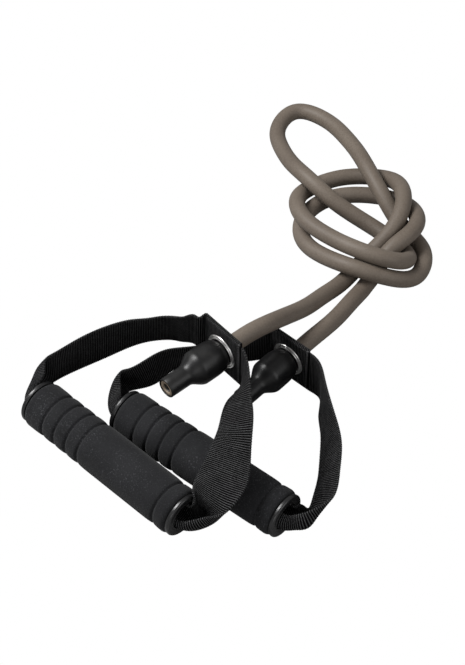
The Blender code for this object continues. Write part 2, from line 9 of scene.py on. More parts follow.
import bpy
import numpy as np
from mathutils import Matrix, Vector


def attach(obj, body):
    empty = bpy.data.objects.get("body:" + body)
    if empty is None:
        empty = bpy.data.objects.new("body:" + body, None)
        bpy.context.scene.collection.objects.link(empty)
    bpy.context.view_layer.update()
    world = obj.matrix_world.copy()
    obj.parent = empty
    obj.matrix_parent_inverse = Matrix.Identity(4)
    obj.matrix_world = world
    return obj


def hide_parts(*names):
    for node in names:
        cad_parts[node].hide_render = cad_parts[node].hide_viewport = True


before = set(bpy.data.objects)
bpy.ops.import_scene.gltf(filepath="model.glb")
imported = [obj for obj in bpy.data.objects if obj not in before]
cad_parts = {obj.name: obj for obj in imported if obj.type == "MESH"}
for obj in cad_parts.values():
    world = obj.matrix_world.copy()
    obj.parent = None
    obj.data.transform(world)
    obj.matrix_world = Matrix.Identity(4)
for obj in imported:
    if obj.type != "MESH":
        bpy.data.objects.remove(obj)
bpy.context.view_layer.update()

# Where the row frame's origin lies among the positions given below
MIDDLE = np.array([-0.03394, -0.09700, 0.0])
UP = np.array([0.0, 0.0, 1.0])

# Clearance between touching pieces
GAP = 0.0003

# Grip
GRIP_LENGTH = 0.133
FOAM_OD = 0.032
GROOVE_DEPTH = 0.0014
GROOVES_LEFT = (0.0165, 0.0271, 0.0377, 0.0484)
GROOVE_RIGHT = 0.0106
PIPE_OD = 0.024
PIPE_ID = 0.021
RING_OD = 0.0302
RING_FLANGE = 0.003
RING_BORE = 0.018
RING_SPIGOT = 0.010
RING_EASE = 0.0006
FOAM_SIDES = 128

# Soft shaping of the foam: how wide each dip is, and how far its ends round over
DIP_HALF_WIDTH = 0.00105
SHOULDER_HALF_WIDTH = 0.0036
SHOULDER_DEPTH = 0.00035
DIP_EASE = 0.0002
FOAM_END_LENGTH = 0.0036
FOAM_END_DROP = 0.0030

# Webbing
WEB_WIDTH = 0.038
WEB_THICK = 0.0015
RIB_PITCH = 0.00128
SEAM_AT = 0.0312
STITCH_PITCH = 0.0024
CELL_PITCH = 0.00092
FOLD_FROM_SEAM = 0.0019
PANEL_LEFT = 0.0175
PANEL_RIGHT = 0.017
FREE_END_SETBACK = 0.0015
BAND_PIECE = 0.0006
BAND_CLEARANCE = 1.4 * GAP
TWIST_SHARE = 0.85

# Weave as relief: how far ribs and selvedge turns stand out, and the band's rounded edge
RIB_SWELL = 0.00010
PANEL_SWELL = 0.00003
PANEL_REACH = 0.0185
BAND_SINK = 0.00004
SELVEDGE_RIPPLE = 0.00017
EDGE_SHARE = 0.025
STRAIGHT_SAG = 1e-4

# Eyelet
EYELET_BORE = 0.017
EYELET_WALL = 0.0005
EYELET_FLANGE_OD = 0.0246
EYELET_FLANGE = 0.0012
EYELET_CURL_OD = 0.0208
WASHER_THICK = 0.0008
DOME_STEPS = 49
DOME_SEAT = 0.00005
DOME_POWER = 0.8
DOME_GROOVE = 0.0005
DOME_GROOVE_HALF_WIDTH = 0.00032
DOME_GROOVE_SHARE = 0.12

# Tube and stoppers
TUBE_OD = 0.0118
TUBE_BORE = 0.0064
NECK_OD = 0.0162
BULB_OD = 0.0236
NOSE_OD = 0.0134
NOSE_WALL = 0.0009
BULB_WALL = 0.0012
STOPPER_END = 0.0483
CAP_RECESS = 0.0005
JOINT_AT = -0.001
PLUG_OD = 0.016
PLUG_FROM = 0.0117
PLUG_TO = 0.0228
EXIT_LENGTH = 1.2 * TUBE_OD
SPLINE_PIECES = 14
FLOOR_CLEARANCE = 0.0001

# The sleeve along its axis: where the neck ends, the bulb is full, and the taper to the nose runs
NECK_END = 0.0035
BULB_FULL = 0.014
BULB_RISE = BULB_FULL - NECK_END
TAPER_FROM = 0.0222
TAPER_LENGTH = 0.0112
NOSE_EDGE = 0.0006

# The photograph's camera: tilt, distance, and focal length in the picture's own pixels
CAMERA_TILT = math.radians(49.5)
CAMERA_AWAY = 1.25
FOCAL_PIXELS = 1835.0
PICTURE_HEIGHT_PIXELS = 665.0
SENSOR_WIDTH_MM = 36.0


def unit(v):
    """A vector of length one."""
    v = np.array(v, float)
    return v / np.linalg.norm(v)


FRONT = {
    "label": "front",
    "grip": np.array([-0.0780, -0.11715, FOAM_OD / 2]) - MIDDLE,
    "along": unit((0.7297, -0.6841, 0.0)),
    "panel": np.array([-0.0053, -0.0634, 0.0575]) - MIDDLE,
    "faces": unit((-0.753, -0.658, 0.0)),
    "opens": (40.0, 110.0),
}
REAR = {
    "label": "rear",
    "grip": np.array([-0.01845, -0.12155, FOAM_OD / 2]) - MIDDLE,
    "along": unit((0.778, -0.628, 0.0)),
    "panel": np.array([0.038, -0.038, 0.0195]) - MIDDLE,
    "faces": unit((-0.672, -0.740, 0.0)),
    "opens": (40.0, 72.0),
}

# Lines of each strap's arms: one edge, the middle where it bulges, the other edge
FRONT_LEFT_ARM = (
    ((-0.0205, -0.0465, 0.0387), None, (-0.0202, -0.0520, 0.0760)),
    ((-0.0245, -0.0425, 0.0386), None, (-0.0240, -0.0500, 0.0755)),
    ((-0.0287, -0.0390, 0.0362), None, (-0.0280, -0.0480, 0.0730)),
    ((-0.0335, -0.0330, 0.0297), None, (-0.0325, -0.0435, 0.0662)),
    ((-0.0390, -0.0262, 0.0233), None, (-0.0378, -0.0373, 0.0596)),
    ((-0.0481, -0.0208, 0.0170), None, (-0.0468, -0.0320, 0.0533)),
    ((-0.0577, -0.0183, 0.0120), None, (-0.0561, -0.0294, 0.0483)),
    ((-0.0673, -0.0186, 0.0080), None, (-0.0655, -0.0274, 0.0449)),
    ((-0.0815, -0.0224, 0.0030), None, (-0.0794, -0.0279, 0.0405)),
    ((-0.1046, -0.0337, 0.0006), None, (-0.1019, -0.0391, 0.0381)),
    ((-0.1185, -0.0432, 0.0006), None, (-0.1160, -0.0500, 0.0377)),
    ((-0.1225, -0.0505, 0.0015), (-0.1270, -0.0505, 0.0185), (-0.1210, -0.0550, 0.0360)),
    ((-0.1210, -0.0575, 0.0050), (-0.1306, -0.0585, 0.0170), (-0.1215, -0.0610, 0.0310)),
)

FRONT_RIGHT_ARM = (
    ((-0.0232, -0.1602, 0.0290), (-0.0140, -0.1652, 0.0150), (-0.0180, -0.1718, 0.0275)),
    ((-0.0245, -0.1545, 0.0328), (-0.0105, -0.1640, 0.0275), (-0.0055, -0.1760, 0.0380)),
    ((-0.0228, -0.1463, 0.0330), (-0.0075, -0.1570, 0.0350), (0.0040, -0.1675, 0.0420)),
    ((-0.0183, -0.1364, 0.0335), None, (0.0095, -0.1585, 0.0470)),
    ((-0.0120, -0.1198, 0.0352), None, (0.0112, -0.1416, 0.0557)),
    ((-0.0083, -0.1086, 0.0370), None, (0.0125, -0.1243, 0.0647)),
    ((-0.0029, -0.0895, 0.0380), None, (0.0112, -0.1069, 0.0687)),
)

REAR_LEFT_ARM = (
    ((0.0140, -0.0250, 0.0006), None, (0.0138, -0.0315, 0.0380)),
    ((0.0020, -0.0262, 0.0006), None, (0.0018, -0.0362, 0.0372)),
    ((-0.0120, -0.0275, 0.0006), None, (-0.0122, -0.0400, 0.0364)),
    ((-0.0245, -0.0290, 0.0006), None, (-0.0250, -0.0428, 0.0360)),
    ((-0.0320, -0.0307, 0.0006), None, (-0.0330, -0.0440, 0.0362)),
    ((-0.0400, -0.0337, 0.0006), None, (-0.0415, -0.0458, 0.0367)),
    ((-0.0481, -0.0422, 0.0006), None, (-0.0513, -0.0510, 0.0370)),
    ((-0.0609, -0.0490, 0.0006), None, (-0.0665, -0.0610, 0.0355)),
    ((-0.0690, -0.0535, 0.0015), (-0.0745, -0.0565, 0.0180), (-0.0725, -0.0645, 0.0345)),
    ((-0.0680, -0.0600, 0.0040), (-0.0783, -0.0630, 0.0155), (-0.0720, -0.0710, 0.0305)),
)

REAR_RIGHT_ARM = (
    ((0.0420, -0.1552, 0.0185), (0.0425, -0.1635, 0.0088), (0.0390, -0.1668, 0.0236)),
    ((0.0470, -0.1490, 0.0045), (0.0510, -0.1578, 0.0095), (0.0495, -0.1665, 0.0285)),
    ((0.0509, -0.1378, 0.0008), (0.0575, -0.1490, 0.0140), (0.0605, -0.1595, 0.0300)),
    ((0.0546, -0.1229, 0.0006), None, (0.0661, -0.1404, 0.0322)),
    ((0.0565, -0.1055, 0.0006), None, (0.0679, -0.1191, 0.0341)),
    ((0.0576, -0.0877, 0.0006), None, (0.0647, -0.0996, 0.0359)),
    ((0.0572, -0.0696, 0.0006), None, (0.0590, -0.0730, 0.0383)),
    ((0.0567, -0.0560, 0.0006), None, (0.0550, -0.0560, 0.0384)),
)

# The tube's route between the eyelets
ROUTE = (
    (0.0270, -0.0320, 0.0490),
    (0.0375, -0.0165, 0.0375),
    (0.0501, 0.0018, 0.0249),
    (0.0624, 0.0214, 0.0143),
    (0.0769, 0.0409, 0.0070),
    (0.0934, 0.0597, 0.0108),
    (0.1108, 0.0760, 0.0198),
    (0.1205, 0.0986, 0.0244),
    (0.1189, 0.1232, 0.0196),
    (0.1046, 0.1408, 0.0091),
    (0.0802, 0.1433, 0.0062),
    (0.0579, 0.1317, 0.0081),
    (0.0463, 0.1109, 0.0159),
    (0.0507, 0.0870, 0.0214),
    (0.0666, 0.0674, 0.0245),
    (0.0853, 0.0506, 0.0290),
    (0.1085, 0.0439, 0.0254),
    (0.1224, 0.0574, 0.0125),
    (0.1128, 0.0798, 0.0068),
    (0.0934, 0.0958, 0.0095),
    (0.0724, 0.1073, 0.0180),
    (0.0546, 0.1240, 0.0239),
    (0.0430, 0.1459, 0.0183),
    (0.0357, 0.1695, 0.0121),
    (0.0344, 0.1945, 0.0080),
    (0.0484, 0.2137, 0.0064),
    (0.0697, 0.2023, 0.0083),
    (0.0826, 0.1808, 0.0126),
    (0.0914, 0.1575, 0.0180),
    (0.0990, 0.1334, 0.0209),
    (0.1092, 0.1109, 0.0156),
    (0.1221, 0.0910, 0.0068),
    (0.1341, 0.0687, 0.0062),
    (0.1277, 0.0461, 0.0064),
    (0.1060, 0.0372, 0.0152),
    (0.0825, 0.0415, 0.0206),
    (0.0633, 0.0571, 0.0151),
    (0.0502, 0.0779, 0.0091),
    (0.0509, 0.1025, 0.0062),
    (0.0682, 0.1206, 0.0064),
    (0.0929, 0.1255, 0.0063),
    (0.1170, 0.1190, 0.0075),
    (0.1295, 0.0990, 0.0153),
    (0.1260, 0.0750, 0.0221),
    (0.1090, 0.0579, 0.0195),
    (0.0953, 0.0426, 0.0062),
    (0.0823, 0.0211, 0.0096),
    (0.0710, 0.0030, 0.0130),
)


def add_object(name, data):
    """An object of this data, linked into the scene."""
    made = bpy.data.objects.new(name, data)
    bpy.context.collection.objects.link(made)
    return made


def make_mesh(name, points, faces, uv):
    """A smooth mesh object from an array of points, its faces, and one pair of map places per point."""
    mesh = bpy.data.meshes.new(name)
    mesh.from_pydata(points.tolist(), [], faces)
    layer = mesh.uv_layers.new(name="UVMap")
    index = np.empty(len(mesh.loops), dtype=np.int32)
    mesh.loops.foreach_get("vertex_index", index)
    layer.data.foreach_set("uv", uv[index].astype(np.float32).ravel())
    mesh.shade_smooth()
    return add_object(name, mesh)


def quads(rows, cols, closed):
    """Faces of a grid of points whose columns join round; where closed, its last row meets its first."""
    i = np.arange(rows if closed else rows - 1)
    j = np.arange(cols)
    i, j = np.meshgrid(i, j, indexing="ij")
    n, m = (i + 1) % rows, (j + 1) % cols
    made = np.stack([i * cols + j, i * cols + m, n * cols + m, n * cols + j], -1)
    return made.reshape(-1, 4).tolist()


def basis(along):
    """Two directions square to an axis."""
    turned = Vector(along).to_track_quat("Z", "Y").to_matrix()
    return np.array(turned.col[0]), np.array(turned.col[1])


def rounded(outline, radius, steps):
    """An outline of (radius, height) pairs whose corners are eased.

    Each corner gives way to a parabola from a point before it to a point after it. Both are the
    radius away from the corner, or just under half the shorter edge.
    """
    rows = np.array(outline, float)
    made = []
    count = len(rows)
    for i in range(count):
        here, before, after = rows[i], rows[i - 1], rows[(i + 1) % count]
        a, b = before - here, after - here
        reach = min(radius, 0.45 * np.linalg.norm(a), 0.45 * np.linalg.norm(b))
        p, q = here + unit(a) * reach, here + unit(b) * reach
        for k in range(steps + 1):
            t = k / steps
            made.append((1 - t) ** 2 * p + 2 * t * (1 - t) * here + t * t * q)
    return made


def turned_piece(name, outline, middle, along, sides=96):
    """Surface of revolution: a closed outline swept round an axis.

    A point is the middle, plus the outline's radius times a wheel of cosines and sines square to
    the axis, plus its height along the axis. The map holds the turn and the height.
    """
    outline = np.array(outline, float)
    x, y = basis(along)
    turn = np.linspace(0, 2 * math.pi, sides, endpoint=False)
    wheel = np.cos(turn)[:, None] * x + np.sin(turn)[:, None] * y
    points = middle + outline[:, None, :1] * wheel[None] + outline[:, None, 1:] * along[None, None]
    uv = np.stack(np.broadcast_arrays(turn[None] / (2 * math.pi), outline[:, 1:]), -1)
    faces = quads(len(outline), sides, True)
    return make_mesh(name, points.reshape(-1, 3), faces, uv.reshape(-1, 2))


def clamped_spline(rows, start, end):
    """Smooth cubic through rows: slopes that make the bend continuous, with both end slopes given.

    Distances between rows are those of the first three columns.
    """
    rows = np.asarray(rows, float)
    steps = np.linalg.norm(np.diff(rows[:, :3], axis=0), axis=1)
    count = len(rows)
    left = np.zeros((count, count))
    right = np.zeros_like(rows)
    left[0, 0] = left[-1, -1] = 1.0
    right[0], right[-1] = start, end
    for i in range(1, count - 1):
        a, b = steps[i - 1], steps[i]
        left[i, i - 1], left[i, i], left[i, i + 1] = b, 2.0 * (a + b), a
        before = (rows[i] - rows[i - 1]) / a
        after = (rows[i + 1] - rows[i]) / b
        right[i] = 3.0 * (b * before + a * after)
    return rows, np.linalg.solve(left, right), steps


def along_spline(curve, spans):
    """Points of a spline, each a Hermite blend of the two rows and slopes about it.

    spans holds how many pieces each interval is cut into.
    """
    rows, slopes, steps = curve
    made = []
    for i, step in enumerate(steps):
        t = (np.arange(spans[i]) / spans[i])[:, None]
        t2, t3 = t * t, t * t * t
        made.append((2 * t3 - 3 * t2 + 1) * rows[i] + (t3 - 2 * t2 + t) * step * slopes[i]
                    + (3 * t2 - 2 * t3) * rows[i + 1] + (t3 - t2) * step * slopes[i + 1])
    made.append(rows[-1:])
    return np.vstack(made)


def bore_row(mouth, along, opens):
    """Middle and both edges of the webbing inside a bore, where it is curled to a C.

    The C is an arc about the bore's axis as long as the band is wide, and it opens at an angle
    above the level.
    """
    radius = RING_BORE / 2 - BAND_CLEARANCE - WEB_THICK / 2
    level = np.cross(UP, along)
    lean = math.radians(opens)
    inward = level * math.cos(lean) + UP * math.sin(lean)
    across = np.cross(along, inward)
    turn = WEB_WIDTH / 2 / radius
    edges = [mouth - inward * radius * math.cos(turn) + across * side * radius * math.sin(turn)
             for side in (-1.0, 1.0)]
    return np.concatenate([mouth - inward * radius, edges[0], edges[1]])


def end_slope(here, there, travel):
    """Slopes at an arm's end, gentler for an edge that has less far to go."""
    far = np.linalg.norm((there - here).reshape(3, 3), axis=1)
    return np.concatenate([travel * min(1.0, reach / far[0]) for reach in far])


def arm(edges, start, end, start_travel, end_travel, piece):
    """Sampled rows of one arm between two given end rows."""
    rows = [start]
    for low, middle, high in edges:
        low, high = np.array(low) - MIDDLE, np.array(high) - MIDDLE
        middle = (low + high) / 2 if middle is None else np.array(middle) - MIDDLE
        rows.append(np.concatenate([middle, low, high]))
    rows.append(end)
    slopes = [end_slope(rows[0], rows[1], start_travel), end_slope(rows[-1], rows[-2], end_travel)]
    curve = clamped_spline(rows, slopes[0], slopes[1])
    return along_spline(curve, [max(2, int(round(step / piece))) for step in curve[2]])


def strap_rows(side, left_edges, right_edges, piece):
    """Rows of the whole band: back layer, left arm, through the grip, right arm, front layer."""
    along, normal, centre = side["along"], side["faces"], side["panel"]
    sideways = -np.cross(normal, UP)
    layer = (WEB_THICK + GAP) / 2
    reach = GRIP_LENGTH / 2

    def flat(offset, face):
        middle = centre + sideways * offset + normal * face * layer
        return np.concatenate([middle, middle - UP * WEB_WIDTH / 2, middle + UP * WEB_WIDTH / 2])

    opens = side["opens"]
    mouths = [bore_row(side["grip"] + along * reach * end, along, opening)
              for end, opening in zip((-1, 1), opens)]
    left = arm(left_edges, flat(-PANEL_LEFT, -1.0), mouths[0], -sideways, along, piece)
    right = arm(right_edges, mouths[1], flat(PANEL_RIGHT, 1.0), along, -sideways, piece)
    count = int(2 * reach / piece)
    inside = []
    for k in range(1, count):
        f = -1 + 2 * k / count
        share = min(1.0, max(0.0, (f / TWIST_SHARE + 1) / 2))
        inside.append(bore_row(side["grip"] + along * reach * f, along,
                               opens[0] + (opens[1] - opens[0]) * share))
    ends = []
    for a, b, face in ((PANEL_RIGHT - FREE_END_SETBACK, -PANEL_LEFT, -1.0),
                       (PANEL_RIGHT, FREE_END_SETBACK - PANEL_LEFT, 1.0)):
        count = int(abs(a - b) / piece)
        ends.append([flat(a + (b - a) * k / count, face) for k in range(count + 1)])
    return np.vstack([ends[0][:-1], left, inside, right, ends[1][1:]])


def arcs_across(rows, share):
    """Points on the arc from one edge through the middle to the other edge, row by row.

    The circle's centre lies on the chord's own middle line, as far from it as the sag asks for. Rows
    with next to no sag are straight.
    """
    middle, low, high = rows[:, :3], rows[:, 3:6], rows[:, 6:9]
    chord = high - low
    width = np.linalg.norm(chord, axis=1)
    side = chord / width[:, None]
    offset = ((middle - low) * side).sum(1)
    bulge = (middle - low) - side * offset[:, None]
    sag = np.maximum(np.linalg.norm(bulge, axis=1), 1e-9)
    straight = low[:, None] + chord[:, None] * share[None, :, None]
    out = bulge / sag[:, None]
    lift = (sag * sag + offset * offset - width * offset) / (2 * sag)
    lift = np.clip(lift, -5.0, 5.0)
    centre = low + side * (width / 2)[:, None] + out * lift[:, None]
    radius = np.linalg.norm(low - centre, axis=1)
    first = np.arctan2(((low - centre) * out).sum(1), ((low - centre) * side).sum(1))
    last = np.arctan2(((high - centre) * out).sum(1), ((high - centre) * side).sum(1))
    first = np.where(first < last, first + 2 * math.pi, first)
    turn = first[:, None] + (last - first)[:, None] * share[None]
    bent = (centre[:, None] + side[:, None] * (np.cos(turn) * radius[:, None])[:, :, None]
            + out[:, None] * (np.sin(turn) * radius[:, None])[:, :, None])
    return np.where((sag < STRAIGHT_SAG)[:, None, None], straight, bent)


def even_rows(rows, piece):
    """The same rows at even distances along the band's middle."""
    reach = np.concatenate([[0.0], np.cumsum(np.linalg.norm(np.diff(rows[:, :3], axis=0), axis=1))])
    spots = np.linspace(0.0, reach[-1], int(reach[-1] / piece) + 1)
    return np.stack([np.interp(spots, reach, rows[:, k]) for k in range(rows.shape[1])], 1), spots


def webbing(side, left_edges, right_edges):
    """Ribbed band: a surface of (distance along, place across) with a rib each pitch.

    The outline across is a thin loop with rounded edges. Its half thickness swells and shrinks as a
    cosine of the distance along, and the edges move in and out by the same cosine, so that each
    weft turn shows at the selvedge.
    """
    piece = RIB_PITCH / 4
    rows, spots = even_rows(strap_rows(side, left_edges, right_edges, BAND_PIECE), piece)
    body = np.linspace(EDGE_SHARE - 1, 1 - EDGE_SHARE, 19)
    share = (np.concatenate([[-1.0, -0.993], body, [0.993, 1.0]]) + 1) / 2
    centre = len(share) // 2
    grid = arcs_across(rows, share)
    down = np.gradient(grid, axis=0)
    over = np.gradient(grid, axis=1)
    lean = np.cross(over, down)
    lean /= np.linalg.norm(lean, axis=2)[:, :, None]
    over /= np.linalg.norm(over, axis=2)[:, :, None]
    edge = np.abs(share * 2 - 1)
    fullness = np.sqrt(np.clip(1 - ((edge - 1 + EDGE_SHARE) / EDGE_SHARE).clip(0, 1) ** 2, 0.0, 1.0))
    left = spots[-1] - spots
    rib = np.cos(2 * math.pi * left / RIB_PITCH)
    selvedge = (edge > 1 - 1.2 * EDGE_SHARE) * np.sign(share * 2 - 1)
    grid = grid + over * (SELVEDGE_RIPPLE * rib[:, None] * selvedge[None])[:, :, None]
    panel = np.linalg.norm(grid[:, centre] - side["panel"], axis=1) < PANEL_REACH
    swell = np.where(panel, PANEL_SWELL, RIB_SWELL)
    half = (WEB_THICK / 2 - BAND_SINK + swell[:, None] * rib[:, None]) * fullness[None]
    outside = grid - lean * half[:, :, None]
    inside = grid + lean * half[:, :, None]
    loop = np.concatenate([outside, inside[:, -2:0:-1]], axis=1)
    across = np.concatenate([share, share[-2:0:-1]]) * WEB_WIDTH
    uv = np.stack(np.broadcast_arrays(across[None], left[:, None]), -1)
    count = loop.shape[1]
    faces = quads(len(rows), count, False)
    faces.append(list(range(count)))
    faces.append([(len(rows) - 1) * count + k for k in range(count)][::-1])
    made = make_mesh("webbing_" + side["label"], loop.reshape(-1, 3), faces, uv.reshape(-1, 2))
    return made, float(spots[-1])


def foam(side):
    """Foam grip: a turned outline with soft grooves.

    The radius is the foam's own, less two bell curves at each groove, a narrow deep one and a wide
    shallow one, and less a quarter of an ellipse at each end.
    """
    half = GRIP_LENGTH / 2 - RING_FLANGE - GAP
    outer, bore = FOAM_OD / 2, PIPE_OD / 2 + GAP
    z = np.linspace(-half, half, 520)
    dips = [-half + g for g in GROOVES_LEFT] + [half - GROOVE_RIGHT]
    radius = np.full_like(z, outer)
    for dip in dips:
        away = np.abs(z - dip)
        radius -= (GROOVE_DEPTH - DIP_EASE) * np.exp(-(away / DIP_HALF_WIDTH) ** 2)
        radius -= SHOULDER_DEPTH * np.exp(-(away / SHOULDER_HALF_WIDTH) ** 2)
    inward = (1 - (half - np.abs(z)) / FOAM_END_LENGTH).clip(0, 1)
    radius -= FOAM_END_DROP * (1 - np.sqrt(1 - inward ** 2))
    outline = [(bore, -half)] + list(zip(radius, z)) + [(bore, half)]
    return turned_piece("foam_" + side["label"], outline, side["grip"], side["along"], FOAM_SIDES)


def ring(side, word):
    """End ring: flange with a rounded lip, and a spigot that reaches into the pipe.

    The outline runs up the flange's rim, over its face, down the lip and the bore, and back along
    the spigot, with every corner eased.
    """
    sign = -1.0 if word == "left" else 1.0
    face = GRIP_LENGTH / 2
    back = face - RING_FLANGE
    outer, bore, spigot = RING_OD / 2, RING_BORE / 2, PIPE_ID / 2 - GAP
    rows = [(outer - 0.0002, back), (outer, face - 0.0009), (outer - 0.0007, face)]
    rows += [(bore + 0.0022, face - 0.0001), (bore + 0.0014, face - 0.0006)]
    rows += [(bore + 0.0007, face - 0.0002), (bore, face - 0.0009), (bore, back - RING_SPIGOT)]
    rows += [(spigot, back - RING_SPIGOT), (spigot, back)]
    outline = rounded([(radius, sign * height) for radius, height in rows], RING_EASE, 4)
    return turned_piece("ring_" + word + "_" + side["label"], outline, side["grip"], side["along"])


def eyelet(side):
    """Rolled eyelet with a domed flange in front, and the washer behind the panel.

    The dome's radius follows a cosine from the rim to the bore and its rise a power of the sine,
    less a bell-shaped groove round it.
    """
    bore, outer = EYELET_BORE / 2, EYELET_FLANGE_OD / 2
    barrel = bore + EYELET_WALL
    face = WEB_THICK + 1.5 * GAP
    crest, lip = face + EYELET_FLANGE, EYELET_CURL_OD / 2
    back = -(face + WASHER_THICK + GAP)
    turn = np.linspace(0.0, math.pi, DOME_STEPS)
    mid, span = (outer + bore) / 2, (outer - bore) / 2
    radius = mid + span * np.cos(turn)
    off_groove = (radius - mid - DOME_GROOVE_SHARE * span) / DOME_GROOVE_HALF_WIDTH
    groove = DOME_GROOVE * np.exp(-off_groove ** 2)
    rise = (crest - face - DOME_SEAT) * np.sin(turn).clip(0, 1) ** DOME_POWER
    rows = list(zip(radius, face + DOME_SEAT + (rise - groove).clip(0, 1)))
    rows += [(bore, back - 0.0003), (bore + 0.0003, back - 0.0006), (bore + 0.0009, back - 0.0007)]
    rows += [(lip - 0.0004, back - 0.0007), (lip, back - 0.0003), (lip, back)]
    rows += [(barrel, back), (barrel, face)]
    made = turned_piece("eyelet_ring_" + side["label"], rows, side["panel"], side["faces"])
    hole = barrel + GAP
    rows = [(hole, -face - WASHER_THICK), (outer, -face - WASHER_THICK), (outer, -face), (hole, -face)]
    rows = rounded(rows, 0.0002, 3)
    washer = turned_piece("washer_" + side["label"], rows, side["panel"], side["faces"])
    return made, washer


def sleeve_radius(s):
    """Outside radius of the sleeve at distances in front of the panel.

    The neck is even, a quarter of an ellipse rises to the bulb, and a smooth step falls to the nose.
    """
    neck, bulb, nose = NECK_OD / 2, BULB_OD / 2, NOSE_OD / 2
    rise = neck + (bulb - neck) * np.sqrt(np.clip(1 - ((BULB_FULL - s) / BULB_RISE) ** 2, 0, 1))
    t = ((s - TAPER_FROM) / TAPER_LENGTH).clip(0, 1)
    fall = bulb + (nose - bulb) * t * t * (3 - 2 * t)
    return np.where(s <= NECK_END, neck, np.where(s <= BULB_FULL, rise, fall))


def sleeve_wall(s):
    """Wall of the sleeve at distances in front of the panel: straight runs between four places."""
    neck = NECK_OD / 2 - TUBE_OD / 2 - 1.3 * GAP
    return np.interp(s, [NECK_END, BULB_FULL, 0.021, 0.035], [neck, BULB_WALL, BULB_WALL, NOSE_WALL])


def stopper(side):
    """Sleeve and tube end: outlines that follow the plug's bulge and then narrow to the nose."""
    crest = WEB_THICK + 1.5 * GAP + EYELET_FLANGE
    back = -(crest + WASHER_THICK)
    end, nose = STOPPER_END, STOPPER_END - CAP_RECESS
    rim, mouth = NOSE_OD / 2, NOSE_OD / 2 - NOSE_WALL
    lean = np.linspace(0, math.pi / 2, 8)
    rise = BULB_FULL - BULB_RISE * np.cos(lean)
    s = np.concatenate([[back, 0.0, NECK_END - 0.0001], rise, np.linspace(0.0145, 0.036, 40),
                        [0.040, 0.044, end - NOSE_EDGE]])
    outline = list(zip(sleeve_radius(s), s))
    outline += [(rim - 0.0002, end - 0.0002), (rim - 0.0005, end), (mouth + 0.0001, end)]
    t = s[::-1]
    outline += list(zip(sleeve_radius(t) - sleeve_wall(t), t))
    sleeve = turned_piece("sleeve_" + side["label"], outline, side["panel"], side["faces"])
    inside = s[s > NECK_END + 0.0001]
    fit = sleeve_radius(inside) - sleeve_wall(inside) - GAP
    rows = [(TUBE_OD / 2, JOINT_AT), (TUBE_OD / 2, NECK_END)]
    rows += list(zip(fit, inside + GAP * (inside < BULB_FULL)))
    rows += [(mouth - GAP, nose - 0.0003), (mouth - 2 * GAP, nose)]
    cavity, hollow = PLUG_OD / 2 + GAP, TUBE_BORE / 2
    rows += [(hollow + 0.0003, nose), (hollow, nose - 0.0003)]
    cap = ((0.0050, hollow), (0.0043, 0.6 * cavity), (0.0025, 0.9 * cavity), (0.0, cavity))
    rows += [(radius, PLUG_TO + reach) for reach, radius in cap]
    rows += [(radius, PLUG_FROM - reach) for reach, radius in reversed(cap)]
    rows.append((hollow, JOINT_AT))
    latex = turned_piece("latex_end_" + side["label"], rows, side["panel"], side["faces"])
    return sleeve, latex


def tube():
    """The free stretch of latex tube: straight out of each eyelet, a clamped spline in between."""
    first = FRONT["panel"] + FRONT["faces"] * (JOINT_AT - GAP)
    last = REAR["panel"] + REAR["faces"] * (JOINT_AT - GAP)
    out, home = -FRONT["faces"], REAR["faces"]
    rows = [first + out * EXIT_LENGTH] + [np.array(p) - MIDDLE for p in ROUTE]
    rows.append(last - home * EXIT_LENGTH)
    curve = clamped_spline(rows, out, home)
    fine = along_spline(curve, [SPLINE_PIECES] * len(curve[2]))
    ends = [first + out * EXIT_LENGTH * k / 6 for k in range(6)]
    tail = [last - home * EXIT_LENGTH * (1 - k / 6) for k in range(1, 7)]
    points = np.vstack([ends, fine, tail])
    points[:, 2] = np.maximum(points[:, 2], TUBE_OD / 2 + FLOOR_CLEARANCE)
    data = bpy.data.curves.new("tube", "CURVE")
    data.dimensions = "3D"
    data.bevel_depth = TUBE_OD / 2
    data.bevel_resolution = 14
    data.use_fill_caps = True
    line = data.splines.new("POLY")
    line.points.add(len(points) - 1)
    line.points.foreach_set("co", np.hstack([points, np.ones((len(points), 1))]).ravel())
    line.use_smooth = True
    made = add_object("tube", data)
    length = float(np.linalg.norm(np.diff(points, axis=0), axis=1).sum())
    return made, first, length


